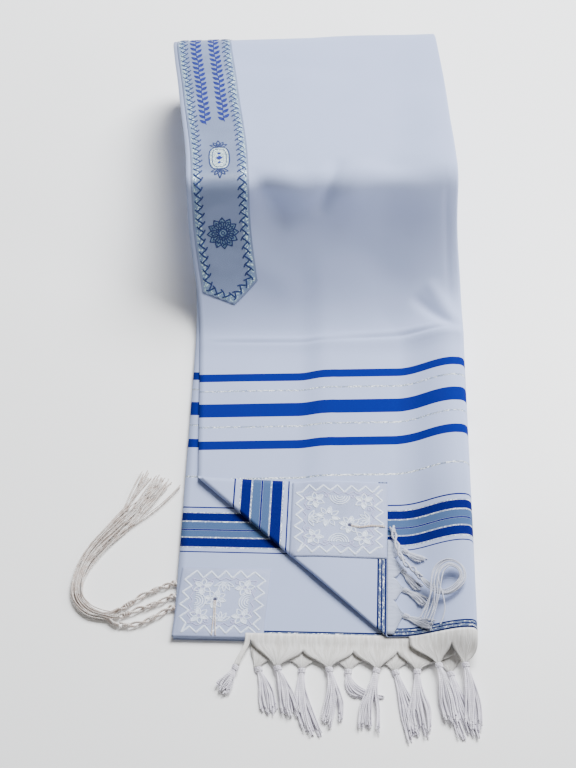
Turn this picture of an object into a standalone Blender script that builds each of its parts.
"""A tallit (prayer shawl) folded in half along its length and again across its middle, lying on a surface.

Run with: blender --background --python part.py
Units are metres, +Z up. The origin is on the floor under the middle of the folded cloth, +X runs across the
folded strip and +Y runs from the fringed hems towards the fold in the middle of the shawl.

A point of the flat cloth has two measures: u, its distance from the neck edge, and v, its distance from the
fringed hem. fold_cloth() gives its place after all the folds, and every piece sewn to the cloth is made from
the same points, moved out along the cloth's own normal.
"""

import math

import bmesh
import bpy
from mathutils import Vector

# ---- the woven cloth -----------------------------------------------------------------------------
CLOTH_THICK = 0.0015
SEAM_GAP = 0.0003
LAYER_STEP = 0.0024
STACK_THICK = CLOTH_THICK + LAYER_STEP

# ---- how the front half is folded along its length -----------------------------------------------
UNDER_LEFT = -0.1525
UPPER_LEFT = -0.1292
UPPER_HEM = -0.0055
SKEW = 0.0465
HEM_Y = -0.420
UNDER_MID_Z = STACK_THICK + SEAM_GAP + CLOTH_THICK / 2

# The soft loop of the lengthwise fold. The crease step: where the old pressed fold keeps the upper layer up.
LOOP_ROWS = (
    # v, loop radius, crease step, x where the loop starts to rise, x of the fold, neck edge moved left
    (0.00, 0.0095, 0.0010, 0.078, 0.1512, 0.0000),
    (0.13, 0.0115, 0.0020, 0.078, 0.1512, 0.0000),
    (0.20, 0.0135, 0.0040, 0.070, 0.1508, 0.0000),
    (0.38, 0.0135, 0.0058, 0.078, 0.1508, 0.0000),
    (0.45, 0.0075, 0.0030, 0.050, 0.1505, 0.0000),
    (0.54, 0.0055, 0.0000, 0.060, 0.1480, 0.0040),
    (0.66, 0.0045, 0.0000, 0.080, 0.1505, 0.0000),
    (0.78, 0.0026, 0.0000, 0.090, 0.1530, 0.0020),
    (0.88, 0.0015, 0.0000, 0.100, 0.1530, 0.0036),
    (0.93, 0.0012, 0.0000, 0.100, 0.1525, -0.0020),
    (1.01, 0.0012, 0.0000, 0.100, 0.1520, -0.0160),
    (1.20, 0.0012, 0.0000, 0.100, 0.1520, -0.0160),
)
CREASE_X = -0.0335
CREASE_SPREAD = 0.030

# ---- the side line of the under layer, from the hem back to where it meets the hidden half -------
SIDE_LINE = (
    # stretch, length, turn in degrees (upwards is positive)
    ("lap on the floor", 0.3860, 0.0),
    ("foot of the rise", 0.0900, 50.0),
    ("rise", 0.1010, 13.0),
    ("brow", 0.0240, -70.0),
    ("top", 0.2620, 0.0),
    ("upper back fold", 0.0700, -83.0),
    ("lower back fold", 0.0000, -90.0),
    ("tuck under", 0.0140, 0.0),
)
TURN_START, TURN_END, TURN_ANGLE = 0.380, 0.480, math.radians(4.1)
STATION_STEP = 0.002

# The fold across the middle isn't square to the strip: how much earlier it comes towards the right.
MIDDLE_FOLD_SKEW = 0.042
SKEW_FROM, SKEW_OVER, SQUARE_FROM, SQUARE_OVER = 0.740, 0.110, 0.900, 0.090

# Shallow ridges and hollows of the draped cloth, each with a rounded outline.
SWELLS = (
    # x, distance from the hem, half-length across, half-length along, height
    (0.060, 0.392, 0.240, 0.012, 0.0030),
    (0.110, 0.405, 0.050, 0.016, 0.0040),
    (-0.070, 0.560, 0.050, 0.030, -0.0035),
    (0.025, 0.580, 0.055, 0.030, 0.0030),
    (0.075, 0.545, 0.040, 0.035, -0.0030),
    (-0.020, 0.490, 0.045, 0.040, 0.0025),
    (0.050, 0.700, 0.090, 0.060, 0.0020),
    (-0.080, 0.730, 0.070, 0.060, -0.0020),
)

# ---- the turned-back corner ----------------------------------------------------------------------
CORNER_FOLD_A = (-0.1400, 0.1985)
CORNER_FOLD_B = (0.0645, 0.0010)
ROLL_RADIUS_A = 0.0085
ROLL_RADIUS_B = 0.0030
ROLL_FACETS = 6
CORNER_SETTLE = 0.075
CORNER_REST = 0.0030

# ---- what is sewn on -----------------------------------------------------------------------------
TRIM_THICK = 0.0010
HIDDEN_RIGHT = 0.1490
NECKBAND_U = (0.005, 0.0715)
NECKBAND_TIP = (0.041, 0.449)
NECKBAND_SHOULDERS_V = (0.467, 0.477)
NECKBAND_STOP = 0.034
FLAP_PATCH_U = (0.002, 0.098)
FLAP_PATCH_V = (0.002, 0.100)
UNDER_PATCH_U = (0.001, 0.093)
UNDER_PATCH_V = (0.002, 0.084)


def smooth(t):
    """Eases from 0 to 1 as t goes from 0 to 1, level at both ends."""
    t = min(1.0, max(0.0, t))
    return t * t * (3 - 2 * t)


def read_table(rows, at):
    """The columns after the first of a table, eased between its rows."""
    if at <= rows[0][0]:
        return rows[0][1:]
    for low, high in zip(rows, rows[1:]):
        if at <= high[0]:
            t = smooth((at - low[0]) / (high[0] - low[0]))
            return tuple(a + (b - a) * t for a, b in zip(low[1:], high[1:]))
    return rows[-1][1:]


# ---- the path of the folded strip ----------------------------------------------------------------
def heading(s):
    """How far the strip has turned to the left, seen from above, at distance s from the hem."""
    return TURN_ANGLE * smooth((s - TURN_START) / (TURN_END - TURN_START))


def walk_side_line():
    """(place, slope, heading) every STATION_STEP along the under layer's middle, from the hem."""
    place = Vector((0.0, HEM_Y, UNDER_MID_Z))
    slope, s = 0.0, 0.0
    stations = [(place.copy(), slope, heading(0.0))]
    end_z = CLOTH_THICK / 2 + LAYER_STEP
    for name, length, turn in SIDE_LINE:
        turn = math.radians(turn)
        if name == "lower back fold":
            length = (place.z - end_z) * abs(turn)
        steps = max(1, round(length / STATION_STEP))
        for _ in range(steps):
            slope += turn / steps / 2
            b = heading(s)
            step = length / steps
            place += step * Vector(
                (-math.sin(b) * math.cos(slope), math.cos(b) * math.cos(slope), math.sin(slope))
            )
            slope += turn / steps / 2
            s += step
            stations.append((place.copy(), slope, heading(s)))
    return stations, s


STATIONS, PATH_LENGTH = walk_side_line()
STATION_AT = [0.0]
for (before, _, _), (after, _, _) in zip(STATIONS, STATIONS[1:]):
    STATION_AT.append(STATION_AT[-1] + (after - before).length)


def frame_at(s):
    """The place, the direction across and the outward normal of the strip at distance s from the hem."""
    s = min(s, STATION_AT[-1])
    low, high = 0, len(STATION_AT) - 1
    while high - low > 1:
        mid = (low + high) // 2
        low, high = (mid, high) if STATION_AT[mid] <= s else (low, mid)
    t = (s - STATION_AT[low]) / (STATION_AT[high] - STATION_AT[low])
    (p, a, b), (q, c, d) = STATIONS[low], STATIONS[high]
    place, slope, turn = p + (q - p) * t, a + (c - a) * t, b + (d - b) * t
    across = Vector((math.cos(turn), math.sin(turn), 0.0))
    normal = Vector(
        (math.sin(turn) * math.sin(slope), -math.cos(turn) * math.sin(slope), math.cos(slope))
    )
    return place, across, normal


# ---- folding -------------------------------------------------------------------------------------
def layer_gap(x, v):
    """How far the upper layer's middle lies above the under layer's, at x across the strip."""
    radius, step, rise_x, fold_x, _ = read_table(LOOP_ROWS, v)
    rise = max(0.0, 2 * radius - LAYER_STEP - step)
    return (
        LAYER_STEP
        + step * smooth((x - CREASE_X) / CREASE_SPREAD)
        + rise * smooth((x - rise_x) / (fold_x - radius - rise_x))
    )


def neck_edge_x(v):
    return UPPER_LEFT - SKEW * v - read_table(LOOP_ROWS, v)[4]


def loop_start(v):
    """u where the lengthwise fold begins."""
    radius, _, _, fold_x, _ = read_table(LOOP_ROWS, v)
    return fold_x - radius - neck_edge_x(v)


def loop_end(v):
    """u where the lengthwise fold ends and the under layer begins."""
    return loop_start(v) + math.pi * read_table(LOOP_ROWS, v)[0]


def foot_edge(v):
    """u of the foot edge, which is the under layer's free edge."""
    radius, _, _, fold_x, _ = read_table(LOOP_ROWS, v)
    return loop_end(v) + fold_x - radius - UNDER_LEFT


def fold_lengthwise(u, v):
    """(x across the strip, s along it, height over the under layer) of a point of the cloth."""
    radius, _, _, fold_x, _ = read_table(LOOP_ROWS, v)
    start = loop_start(v)
    if u <= start:
        x = neck_edge_x(v) + u
        return x, UPPER_HEM + v + SKEW * u, layer_gap(x, v)
    round_fold = (u - start) / radius
    if round_fold < math.pi:
        top_s = UPPER_HEM + v + SKEW * start
        s = top_s + (v - top_s) * smooth(round_fold / math.pi)
        return fold_x - radius + radius * math.sin(round_fold), s, radius * (1 + math.cos(round_fold))
    return fold_x - radius - (u - loop_end(v)), v, 0.0


def flat_point(x, s):
    """(u, v) of the upper layer's point that lies at x across the strip and s along it."""
    x, s = x - UPPER_LEFT, s - UPPER_HEM
    scale = 1 + SKEW * SKEW
    return Vector(((x + SKEW * s) / scale, (s - SKEW * x) / scale))


class CornerRoll:
    """The cone that the corner of the upper layer is turned back over."""

    def __init__(self):
        a, b = flat_point(*CORNER_FOLD_A), flat_point(*CORNER_FOLD_B)
        along = (b - a).normalized()
        out = Vector((along.y, -along.x))
        if out.dot(-a) < 0:
            out = -out
        self.a, self.b = a - out * ROLL_RADIUS_A, b - out * ROLL_RADIUS_B
        self.along = (self.b - self.a).normalized()
        self.out = Vector((self.along.y, -self.along.x))
        if self.out.dot(-self.a) < 0:
            self.out = -self.out
        self.length = (self.b - self.a).length

    def radius(self, t):
        share = min(1.25, max(-0.15, t / self.length))
        return ROLL_RADIUS_A + (ROLL_RADIUS_B - ROLL_RADIUS_A) * share

    def crease(self, angle):
        """Two points of the straight line on the flat cloth that ends up at this angle round the roll."""
        return (
            self.a + self.out * angle * self.radius(0.0),
            self.b + self.out * angle * self.radius(self.length),
        )

    def turn_back(self, u, v):
        """(u, v, lift) of a point after its corner is turned back."""
        p = Vector((u, v)) - self.a
        t, beyond = p.dot(self.along), p.dot(self.out)
        if beyond <= 0:
            return u, v, 0.0
        radius = self.radius(t)
        angle = beyond / radius
        if angle < math.pi:
            back, lift = radius * math.sin(angle), radius * (1 - math.cos(angle))
        else:
            laid = beyond - math.pi * radius
            back = -laid
            rest = min(2 * radius, CORNER_REST)
            lift = 2 * radius + (rest - 2 * radius) * smooth(laid / CORNER_SETTLE)
        q = self.a + self.along * t + self.out * back
        return q.x, q.y, lift


ROLL = CornerRoll()


def middle_fold_skew(x, s):
    share = smooth((s - SKEW_FROM) / SKEW_OVER) * (1 - smooth((s - SQUARE_FROM) / SQUARE_OVER))
    return MIDDLE_FOLD_SKEW * x * share


def swell(x, s):
    """Height of the shallow ridges and hollows at a point of the strip."""
    return sum(
        height * math.exp(-(((x - at_x) / half_x) ** 2) - ((s - at_s) / half_s) ** 2)
        for at_x, at_s, half_x, half_s, height in SWELLS
    )


def fold_cloth(u, v, turned=True):
    """The place of a point of the flat front half of the cloth, after all its folds."""
    lift = 0.0
    if turned and u < loop_start(v):
        u, v, lift = ROLL.turn_back(u, v)
    x, s, height = fold_lengthwise(u, v)
    place, across, normal = frame_at(s + middle_fold_skew(x, s))
    return place + across * x + normal * (height + lift + swell(x, s))


def cloth_normal(u, v):
    """The cloth's normal on its right side, which is the upper face of the upper layer."""
    step = 0.0004
    along_u = fold_cloth(u + step, v) - fold_cloth(u - step, v)
    along_v = fold_cloth(u, v + step) - fold_cloth(u, v - step)
    return along_u.cross(along_v).normalized()


# ---- Blender helpers -----------------------------------------------------------------------------
def material(name, colour, roughness, metallic=0.0):
    made = bpy.data.materials.new(name)
    made.use_nodes = True
    shader = made.node_tree.nodes["Principled BSDF"]
    shader.inputs["Base Color"].default_value = (*colour, 1.0)
    shader.inputs["Roughness"].default_value = roughness
    shader.inputs["Metallic"].default_value = metallic
    return made


def add_object(name, bm, finish, smooth_angle=40.0):
    """Makes the object of a bmesh, shaded smooth but for its sharp edges."""
    mesh = bpy.data.meshes.new(name)
    bm.to_mesh(mesh)
    bm.free()
    mesh.shade_smooth()
    mesh.set_sharp_from_angle(angle=math.radians(smooth_angle))
    mesh.materials.append(finish)
    obj = bpy.data.objects.new(name, mesh)
    bpy.context.scene.collection.objects.link(obj)
    return obj


def add_wall(obj, thickness):
    """Gives a surface its cloth thickness, half to each side."""
    wall = obj.modifiers.new("wall", "SOLIDIFY")
    wall.thickness = thickness
    wall.offset = 0.0
    wall.use_even_offset = True


def grid_mesh(rows):
    """A bmesh of quads through rows of points."""
    bm = bmesh.new()
    made = [[bm.verts.new(p) for p in row] for row in rows]
    for row, after in zip(made, made[1:]):
        for i in range(len(row) - 1):
            bm.faces.new((row[i], row[i + 1], after[i + 1], after[i]))
    return bm


def spread(start, end, count):
    """count + 1 even values from start to end."""
    return [start + (end - start) * i / count for i in range(count + 1)]


# ---- the cloth -----------------------------------------------------------------------------------
UPPER_COLUMNS = 3
RISING_COLUMNS = 5
LOOP_COLUMNS = 5
UNDER_COLUMNS = 4
ROW_SPANS = (
    # v at the end of the span, rows in it
    (UNDER_PATCH_V[0], 1),
    (UNDER_PATCH_V[1], 3),
    (FLAP_PATCH_V[1], 1),
    (0.200, 2),
    (0.372, 4),
    (NECKBAND_TIP[1], 7),
    (NECKBAND_SHOULDERS_V[0], 2),
    (NECKBAND_SHOULDERS_V[1], 1),
    (0.570, 6),
    (0.610, 8),
    (0.855, 5),
    (PATH_LENGTH - NECKBAND_STOP, 10),
    (PATH_LENGTH - 0.014, 2),
    (PATH_LENGTH, 1),
)
LEVEL_FROM, LEVEL_OVER = 0.900, 0.070


def row_measures():
    """v of each row of the front half, closest where the side line turns."""
    values, last = [0.0], 0.0
    for end, count in ROW_SPANS:
        values += spread(last, end, count)[1:]
        last = end
    return values


def level_row(u, v):
    """v at u along a row: the last rows turn until they run straight across the strip."""
    return v - (fold_lengthwise(u, v)[1] - v) * smooth((v - LEVEL_FROM) / LEVEL_OVER)


def column_measures(v):
    """u of each point of a row, from the neck edge to the foot edge."""
    start, end, edge = loop_start(v), loop_end(v), foot_edge(v)
    rising = read_table(LOOP_ROWS, v)[2] - neck_edge_x(v)
    return (
        [0.0, FLAP_PATCH_U[0], NECKBAND_U[0], NECKBAND_TIP[0], NECKBAND_U[1], FLAP_PATCH_U[1]]
        + spread(FLAP_PATCH_U[1], rising, UPPER_COLUMNS)[1:]
        + spread(rising, start, RISING_COLUMNS)[1:]
        + spread(start, end, LOOP_COLUMNS)[1:]
        + spread(end, edge - UNDER_PATCH_U[1], UNDER_COLUMNS)[1:]
        + [edge - UNDER_PATCH_U[1] / 2, edge - UNDER_PATCH_U[0], edge]
    )


def flat_front_half():
    """The front half as a flat net of (u, v) points, cut along the bends of the turned-back corner."""
    rows = [[(u, level_row(u, v)) for u in column_measures(v)] for v in row_measures()]
    bm = grid_mesh([[Vector((u, v, 0.0)) for u, v in row] for row in rows])
    for i in range(ROLL_FACETS + 1):
        p, q = ROLL.crease(math.pi * i / ROLL_FACETS)
        bmesh.ops.bisect_plane(
            bm,
            geom=bm.verts[:] + bm.edges[:] + bm.faces[:],
            plane_co=(p.x, p.y, 0.0),
            plane_no=(q.y - p.y, p.x - q.x, 0.0),
            dist=1e-6,
        )
    return bm


def add_front_half(finish):
    """The front half: the upper layer, the lengthwise fold, the under layer and the turned-back corner."""
    bm = flat_front_half()
    for vert in bm.verts:
        vert.co = fold_cloth(vert.co.x, vert.co.y)
    obj = add_object("front_half_cloth", bm, finish)
    add_wall(obj, CLOTH_THICK)
    return obj


def add_patch(name, holds, finish):
    """A corner patch, made from the cloth's own points moved out from its wrong side."""
    bm = flat_front_half()
    outside = [face for face in bm.faces if not holds(*face.calc_center_median().xy)]
    bmesh.ops.delete(bm, geom=outside, context="FACES")
    rise = CLOTH_THICK / 2 + SEAM_GAP + TRIM_THICK / 2
    for vert in bm.verts:
        u, v = vert.co.x, vert.co.y
        vert.co = fold_cloth(u, v) - cloth_normal(u, v) * rise
    obj = add_object(name, bm, finish)
    add_wall(obj, TRIM_THICK)
    return obj


def on_flap_patch(u, v):
    return FLAP_PATCH_U[0] < u < FLAP_PATCH_U[1] and FLAP_PATCH_V[0] < v < FLAP_PATCH_V[1]


def on_under_patch(u, v):
    from_edge = foot_edge(v) - u
    return UNDER_PATCH_U[0] < from_edge < UNDER_PATCH_U[1] and UNDER_PATCH_V[0] < v < UNDER_PATCH_V[1]


def add_neckband(finish):
    """The band along the neck edge, pointed at its end, from its point over the top and down the back."""
    columns = [NECKBAND_U[0], NECKBAND_TIP[0], NECKBAND_U[1]]
    stop = PATH_LENGTH - NECKBAND_STOP + 0.001
    measures = [v for v in row_measures() if NECKBAND_TIP[1] - 0.001 < v < stop]
    bm = grid_mesh([[Vector((u, level_row(u, v), 0.0)) for u in columns] for v in measures])
    for edge_u, shoulder_v, away in zip(NECKBAND_U, NECKBAND_SHOULDERS_V, (1, -1)):
        slope = Vector((edge_u - NECKBAND_TIP[0], shoulder_v - NECKBAND_TIP[1]))
        bmesh.ops.bisect_plane(
            bm,
            geom=bm.verts[:] + bm.edges[:] + bm.faces[:],
            plane_co=(*NECKBAND_TIP, 0.0),
            plane_no=(-slope.y * away, slope.x * away, 0.0),
            dist=1e-6,
            clear_outer=True,
        )
    rise = CLOTH_THICK / 2 + SEAM_GAP + TRIM_THICK / 2
    for vert in bm.verts:
        u, v = vert.co.x, vert.co.y
        vert.co = fold_cloth(u, v) + cloth_normal(u, v) * rise
    obj = add_object("neckband", bm, finish)
    add_wall(obj, TRIM_THICK)
    return obj


def add_back_half(finish):
    """The hidden half under the front half: two layers in one solid, open at the left, round at the right."""
    end_place, end_turn = STATIONS[-1][0], STATIONS[-1][2]
    ahead = Vector((-math.sin(end_turn), math.cos(end_turn), 0.0))
    stop = (end_place - ahead * SEAM_GAP).dot(ahead)
    rows = []
    for place, slope, turn in STATIONS[::12]:
        if (place.dot(ahead) > stop - 0.012) or slope < math.radians(-60):
            break
        rows.append((place, turn))
    last = rows[-1][0]
    rows.append((last + ahead * (stop - last.dot(ahead)), end_turn))
    radius = STACK_THICK / 2
    left, right = UNDER_LEFT, HIDDEN_RIGHT
    outline = [
        (left, 0.0),
        (left, CLOTH_THICK * 0.9),
        (left + 0.003, radius),
        (left, STACK_THICK - CLOTH_THICK * 0.9),
    ]
    outline += [(left, STACK_THICK), (right - radius, STACK_THICK)]
    for angle in (45, 90, 135):
        a = math.radians(angle)
        outline.append((right - radius + radius * math.sin(a), radius + radius * math.cos(a)))
    outline.append((right - radius, 0.0))
    bm = bmesh.new()
    rings = []
    for place, turn in rows:
        across = Vector((math.cos(turn), math.sin(turn), 0.0))
        floor = Vector((place.x, place.y, 0.0))
        rings.append([bm.verts.new(floor + across * x + Vector((0, 0, z))) for x, z in outline])
    for ring, after in zip(rings, rings[1:]):
        for i in range(len(ring)):
            j = (i + 1) % len(ring)
            bm.faces.new((ring[i], ring[j], after[j], after[i]))
    bm.faces.new(rings[0])
    bm.faces.new(list(reversed(rings[-1])))
    bmesh.ops.recalc_face_normals(bm, faces=bm.faces)
    return add_object("back_half_cloth", bm, finish)


# ---- yarn: strands that grow from a lattice of cells on the end of a knot or a cord --------------
def uneven(i, j=0):
    """A fixed value between -1 and 1 that differs from strand to strand."""
    return math.sin(12.9898 * i + 78.233 * j + 0.7)


def directions(ahead):
    """The sideways and upward directions of a yarn that runs ahead."""
    side = Vector((-ahead.y, ahead.x, 0.0)).normalized()
    return side, ahead.cross(side)


def rim_of(across, deep):
    """(row, column) of the outer points of a lattice, in order round it."""
    return (
        [(0, i) for i in range(across)]
        + [(j, across - 1) for j in range(1, deep)]
        + [(deep - 1, i) for i in range(across - 2, -1, -1)]
        + [(j, 0) for j in range(deep - 2, 0, -1)]
    )


def join_rings(bm, ring, after):
    for i in range(len(ring)):
        j = (i + 1) % len(ring)
        bm.faces.new((ring[i], ring[j], after[j], after[i]))


def lattice_at(bm, place, ahead, width, height, across, deep, filled=True):
    """A lattice of points across a yarn, without its inner points unless it is filled."""
    side, up = directions(ahead)
    rim = set(rim_of(across, deep))
    rows = []
    for j in range(deep):
        b = (j / (deep - 1) - 0.5) * height
        rows.append([])
        for i in range(across):
            a = (i / (across - 1) - 0.5) * width
            used = filled or (j, i) in rim
            rows[-1].append(bm.verts.new(place + side * a + up * b) if used else None)
    return rows


def carry(bm, lattice, sections):
    """Carries a lattice along sections of (place, ahead, width, height) and returns the last one."""
    deep, across = len(lattice), len(lattice[0])
    rim = rim_of(across, deep)
    for number, (place, ahead, width, height) in enumerate(sections):
        filled = number == len(sections) - 1
        after = lattice_at(bm, place, ahead, width, height, across, deep, filled)
        join_rings(bm, [lattice[j][i] for j, i in rim], [after[j][i] for j, i in rim])
        lattice = after
    return lattice


def grow_strands(bm, lattice, route, width, height):
    """Grows a strand from each cell; route(i, j) gives the strand's (place, ahead) points."""
    for j in range(len(lattice) - 1):
        for i in range(len(lattice[0]) - 1):
            ring = [lattice[j][i], lattice[j][i + 1], lattice[j + 1][i + 1], lattice[j + 1][i]]
            for place, ahead in route(i, j):
                side, up = directions(ahead)
                corners = ((-1, -1), (1, -1), (1, 1), (-1, 1))
                after = [
                    bm.verts.new(place + side * (a * width / 2) + up * (b * height / 2)) for a, b in corners
                ]
                join_rings(bm, ring, after)
                ring = after
            bm.faces.new(ring)


def add_yarn(name, bm, finish):
    """Closes a yarn mesh into an object whose faces point out."""
    bmesh.ops.delete(bm, geom=[vert for vert in bm.verts if not vert.link_faces], context="VERTS")
    bmesh.ops.recalc_face_normals(bm, faces=bm.faces)
    if bm.calc_volume(signed=True) < 0:
        bmesh.ops.reverse_faces(bm, faces=bm.faces)
    return add_object(name, bm, finish, 50.0)


# ---- fringe --------------------------------------------------------------------------------------
BAND_THICK = 0.0018
BAND_DEPTH = 0.013
POINT_DEPTH = 0.031
POINT_TIP = 0.0060
KNOT_WIDTH, KNOT_HEIGHT, KNOT_LENGTH = 0.0082, 0.0027, 0.009
NECK_WIDTH, NECK_HEIGHT = 0.0066, 0.0024
LOCKS_ACROSS, LOCKS_DEEP = 3, 2
LOCK_WIDTH, LOCK_HEIGHT = 0.0021, 0.0010
LOCK_PITCH = 0.0032


class Fringe:
    """A fringe: a narrow band cut in points, with a knotted tassel of locks under each point."""

    def __init__(self, hem, start, end, tassels, ground):
        self.hem, self.start, self.end = hem, start, end
        self.tassels, self.ground = tassels, ground

    def at(self, along, out):
        """The middle of the band at a distance along the hem and out from it."""
        edge, outward = self.hem(along)
        place = edge + outward * (out + SEAM_GAP)
        place.z += (self.ground(place) - edge.z) * smooth(out / POINT_DEPTH)
        return place

    def outline(self):
        """(along, out) of the cut edge: a flat-tipped point at each tassel and a notch between two."""
        edge = [(self.start, BAND_DEPTH)]
        for k, (along, _, _) in enumerate(self.tassels):
            edge += [
                (along + POINT_TIP * (i / LOCKS_ACROSS - 0.5), POINT_DEPTH) for i in range(LOCKS_ACROSS + 1)
            ]
            if k + 1 < len(self.tassels):
                edge.append(((along + self.tassels[k + 1][0]) / 2, BAND_DEPTH))
        return edge + [(self.end, BAND_DEPTH)]

    def build(self, name, finish):
        bm = bmesh.new()
        outline = self.outline()
        levels = [BAND_THICK * (j / LOCKS_DEEP - 0.5) for j in range(LOCKS_DEEP + 1)]
        cut = [
            [bm.verts.new(self.at(along, out) + Vector((0, 0, z))) for along, out in outline] for z in levels
        ]
        sewn = [
            [bm.verts.new(self.at(along, 0.0) + Vector((0, 0, z))) for along, _ in outline]
            for z in (levels[0], levels[-1])
        ]
        tips = [1 + k * (LOCKS_ACROSS + 2) for k in range(len(self.tassels))]
        for n in range(len(outline) - 1):
            bm.faces.new((sewn[0][n], sewn[0][n + 1], cut[0][n + 1], cut[0][n]))
            bm.faces.new((sewn[1][n], sewn[1][n + 1], cut[-1][n + 1], cut[-1][n]))
            bm.faces.new((sewn[0][n], sewn[0][n + 1], sewn[1][n + 1], sewn[1][n]))
            if not any(tip <= n < tip + LOCKS_ACROSS for tip in tips):
                for a, b in zip(cut, cut[1:]):
                    bm.faces.new((a[n], a[n + 1], b[n + 1], b[n]))
        for end in (0, -1):
            bm.faces.new([sewn[0][end], sewn[1][end]] + [row[end] for row in reversed(cut)])
        for tip, (along, lean, length) in zip(tips, self.tassels):
            self.add_tassel(bm, [row[tip : tip + LOCKS_ACROSS + 1] for row in cut], along, lean, length)
        return add_yarn(name, bm, finish)

    def add_tassel(self, bm, lattice, along, lean, length):
        """The knot under a point and its locks, which come to lie on what is below them."""
        root = self.at(along, POINT_DEPTH)
        side = lattice[0][-1].co - lattice[0][0].co
        side = Vector((side.x, side.y, 0.0)).normalized()
        ahead = (self.hem(along)[1] + side * lean).normalized()
        flat_side = directions(ahead)[0]
        if flat_side.dot(side) < 0:
            flat_side = -flat_side
            lattice = [list(reversed(row)) for row in lattice]

        def place_at(t, a=0.0, b=0.0):
            place = root + ahead * t + directions(ahead)[0] * a
            place.z = self.ground(place) + b
            return place

        sections = [
            (place_at(0.0022), ahead, KNOT_WIDTH, KNOT_HEIGHT),
            (place_at(KNOT_LENGTH * 0.75), ahead, KNOT_WIDTH, KNOT_HEIGHT),
            (place_at(KNOT_LENGTH), ahead, NECK_WIDTH, NECK_HEIGHT),
        ]
        neck = carry(bm, lattice, sections)

        def route(i, j):
            wild = uneven(i + 3 * j, along * 100)
            reach = length * (1 + 0.05 * uneven(i + 5 * j, along * 91))
            points = []
            for share in (0.05, 0.5, 1.0):
                a = (i - (LOCKS_ACROSS - 1) / 2) * (
                    NECK_WIDTH / LOCKS_ACROSS * (1 - share) + LOCK_PITCH * share
                ) + 0.0004 * wild * share
                b = (j - (LOCKS_DEEP - 1) / 2) * (NECK_HEIGHT / LOCKS_DEEP + 0.0002)
                t = KNOT_LENGTH + share * (reach - KNOT_LENGTH)
                points.append((place_at(t, a, b), ahead))
            return points

        grow_strands(bm, neck, route, LOCK_WIDTH, LOCK_HEIGHT)


def straight_hem(x):
    """The hem of the hidden half at x: its place and its outward direction."""
    return Vector((x, HEM_Y, STACK_THICK / 2)), Vector((0.0, -1.0, 0.0))


def under_hem(x):
    return fold_cloth(loop_end(0.0) + LOOP_ROWS[0][4] - LOOP_ROWS[0][1] - x, 0.0), Vector((0.0, -1.0, 0.0))


def upper_hem(x):
    return fold_cloth(x - neck_edge_x(0.0), 0.0), Vector((0.0, -1.0, 0.0))


def flap_hem(u):
    return fold_cloth(u, 0.0), Vector((1.0, 0.0, 0.0))


def upper_layer_z(place):
    """Height of the upper layer's middle under a place near the turned-back corner."""
    flat = flat_point(place.x, place.y - HEM_Y)
    return fold_cloth(flat.x, flat.y, turned=False).z


BACK_TASSELS = (
    # along the hem, lean, length
    (-0.0710, -0.05, 0.058),
    (-0.0225, 0.08, 0.075),
    (0.0235, 0.28, 0.046),
    (0.0690, 0.34, 0.080),
    (0.1240, 0.18, 0.078),
)
UNDER_TASSELS = (
    (-0.0785, -0.75, 0.040),
    (-0.0445, 0.22, 0.056),
    (0.0038, 0.14, 0.062),
    (0.0522, -0.18, 0.070),
    (0.0915, 0.08, 0.070),
)
UPPER_TASSELS = (
    (0.1120, 0.16, 0.068),
    (0.1368, 0.14, 0.072),
)
FLAP_TASSELS = (
    (0.0850, 1.00, 0.044),
    (0.1240, 1.10, 0.046),
    (0.1640, 0.60, 0.042),
)
FRINGES = (
    # name, hem, start, end, tassels, height of its middle over the floor or the upper layer, on that layer
    ("back_fringe", straight_hem, -0.0830, 0.1400, BACK_TASSELS, 0.0019, False),
    ("under_fringe", under_hem, -0.0900, 0.1300, UNDER_TASSELS, 0.0050, False),
    ("upper_fringe", upper_hem, 0.0900, 0.1414, UPPER_TASSELS, 0.0083, False),
    ("flap_fringe", flap_hem, 0.0740, 0.1800, FLAP_TASSELS, 0.0041, True),
)


def ground_for(height, on_layer):
    return lambda place: height + (upper_layer_z(place) if on_layer else 0.0)


# ---- corner cords --------------------------------------------------------------------------------
CORD_WIDTH = 0.0030
CORD_KNOT = 1.40
STRING_WIDTH, STRING_HEIGHT, STRING_PITCH = 0.0010, 0.0010, 0.00145
CORD_PROFILE = (
    # share of the wound part, scale
    (0.12, 1.0),
    (0.16, CORD_KNOT),
    (0.25, CORD_KNOT),
    (0.29, 1.0),
    (0.52, 1.0),
    (0.56, CORD_KNOT),
    (0.66, CORD_KNOT),
    (0.70, 1.0),
    (0.92, 1.0),
    (0.95, CORD_KNOT),
    (1.00, CORD_KNOT),
)


def along_curve(points, t):
    """A point of the smooth curve through the points; t counts them."""
    k = min(max(int(t), 0), len(points) - 2)
    t -= k
    p0, p1 = points[max(k - 1, 0)], points[k]
    p2, p3 = points[k + 1], points[min(k + 2, len(points) - 1)]
    return (
        p1 * 2 + (p2 - p0) * t + (p0 * 2 - p1 * 5 + p2 * 4 - p3) * t**2 + (p1 * 3 - p0 - p2 * 3 + p3) * t**3
    ) / 2


def course(points, t):
    low, high = max(t - 0.05, 0.0), min(t + 0.05, len(points) - 1.0)
    ahead = along_curve(points, high) - along_curve(points, low)
    return Vector((ahead.x, ahead.y, 0.0)).normalized()


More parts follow.
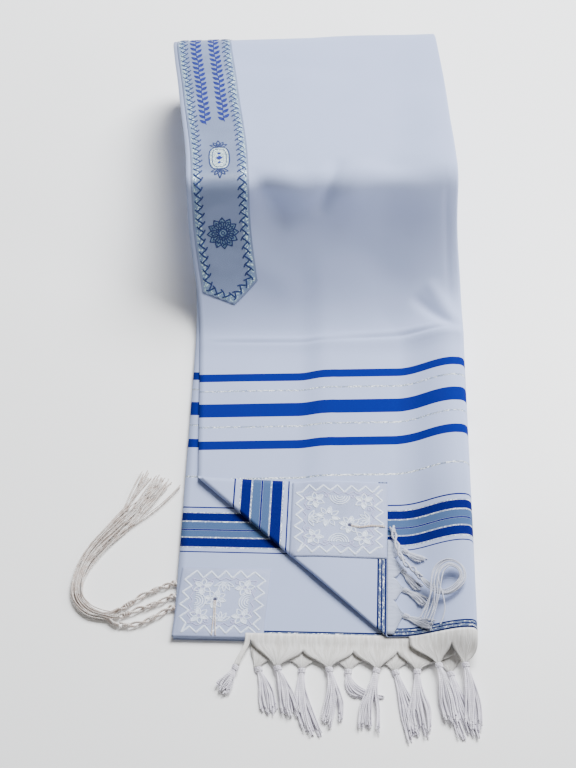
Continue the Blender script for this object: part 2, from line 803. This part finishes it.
def add_cord(name, wound, loose, across, deep, lane, spread_out, finish):
    """A corner cord: its wound and knotted part, then its loose strings, which fan out at their end."""
    bm = bmesh.new()
    height = CORD_WIDTH * 1.1
    lattice = lattice_at(bm, wound[0], course(wound, 0.0), CORD_WIDTH, height, across + 1, deep + 1, False)
    bm.faces.new([lattice[j][i] for j, i in rim_of(across + 1, deep + 1)])
    last = len(wound) - 1
    sections = []
    for share, scale in CORD_PROFILE:
        t = share * last
        sections.append((along_curve(wound, t), course(wound, t), CORD_WIDTH * scale, height * scale))
    end = carry(bm, lattice, sections)

    def route(i, j):
        points = []
        steps = len(loose) - 1
        for k in range(steps + 1):
            share = k / steps
            t = k if k < steps else steps - 0.10 - 0.10 * uneven(i + 4 * j, lane)
            fan = 1 + (spread_out - 1) * smooth((share - 0.55) / 0.45)
            a = lane + (i - (across - 1) / 2) * STRING_PITCH
            b = (j - (deep - 1) / 2) * STRING_PITCH
            if share > 0.6:
                a += 0.0003 * uneven(i, j)
            ahead = course(loose, t)
            side, up = directions(ahead)
            points.append((along_curve(loose, t) + side * a * fan + up * b, ahead))
        return points

    grow_strands(bm, end, route, STRING_WIDTH, STRING_HEIGHT)
    return add_yarn(name, bm, finish)


SIDE_CORD_Z = 0.0034
SIDE_STRINGS = (
    # x, distance from the hem: the middle of the bundle of loose strings at the left
    (-0.2180, 0.0235),
    (-0.2400, 0.0300),
    (-0.2535, 0.0480),
    (-0.2525, 0.0760),
    (-0.2400, 0.1060),
    (-0.2180, 0.1360),
    (-0.1970, 0.1660),
    (-0.1780, 0.2020),
)
CORD_START_X = -0.1528
SIDE_CORDS = (
    # name, lane to the left of the bundle's middle, then x and distance from the hem of the wound part
    (
        "side_cord_a",
        -0.0037,
        ((CORD_START_X, 0.0655), (-0.1590, 0.0645), (-0.1730, 0.0580), (-0.1900, 0.0470), (-0.2085, 0.0320)),
    ),
    (
        "side_cord_b",
        0.0000,
        ((CORD_START_X, 0.0500), (-0.1590, 0.0485), (-0.1740, 0.0400), (-0.1900, 0.0325), (-0.2085, 0.0238)),
    ),
    (
        "side_cord_c",
        0.0037,
        ((CORD_START_X, 0.0360), (-0.1590, 0.0345), (-0.1740, 0.0240), (-0.1900, 0.0150), (-0.2075, 0.0140)),
    ),
)
FLAP_CORD_WOUND = (
    # x, distance from the hem, height over the upper layer
    (0.0678, 0.1356, 0.0040),
    (0.0708, 0.1190, 0.0074),
    (0.0742, 0.1010, 0.0088),
    (0.0805, 0.0872, 0.0090),
    (0.0888, 0.0780, 0.0090),
    (0.0965, 0.0668, 0.0090),
)
FLAP_CORD_LOOSE = (
    (0.1040, 0.0560, 0.0090),
    (0.1125, 0.0478, 0.0086),
    (0.1220, 0.0450, 0.0080),
    (0.1320, 0.0515, 0.0072),
    (0.1372, 0.0615, 0.0070),
    (0.1345, 0.0725, 0.0080),
    (0.1240, 0.0775, 0.0104),
    (0.1140, 0.0700, 0.0136),
    (0.1100, 0.0560, 0.0152),
    (0.1090, 0.0410, 0.0140),
    (0.1065, 0.0270, 0.0116),
    (0.1015, 0.0130, 0.0106),
)


def clear_scene():
    for obj in list(bpy.data.objects):
        bpy.data.objects.remove(obj)


def main():
    clear_scene()
    white = material("white_acrylic", (0.80, 0.82, 0.86), 0.7)
    add_front_half(white)
    add_back_half(white)
    satin = material("white_satin", (0.74, 0.78, 0.86), 0.4)
    add_neckband(satin)
    add_patch("flap_corner_patch", on_flap_patch, satin)
    add_patch("under_corner_patch", on_under_patch, satin)
    cream = material("cream_yarn", (0.82, 0.81, 0.76), 0.8)
    for name, hem, start, end, tassels, height, on_layer in FRINGES:
        Fringe(hem, start, end, tassels, ground_for(height, on_layer)).build(name, cream)
    strings = [Vector((x, HEM_Y + y, SIDE_CORD_Z)) for x, y in SIDE_STRINGS]
    for name, lane, wound in SIDE_CORDS:
        points = [Vector((x, HEM_Y + y, SIDE_CORD_Z)) for x, y in wound]
        add_cord(name, points, strings, 2, 4, lane, 3.2, cream)
    wound, loose = [
        [Vector((x, HEM_Y + y, z + upper_layer_z(Vector((x, HEM_Y + y, 0.0))))) for x, y, z in table]
        for table in (FLAP_CORD_WOUND, FLAP_CORD_LOOSE)
    ]
    add_cord("flap_cord", wound, loose, 4, 2, 0.0, 2.6, cream)


if __name__ == "__main__":
    main()
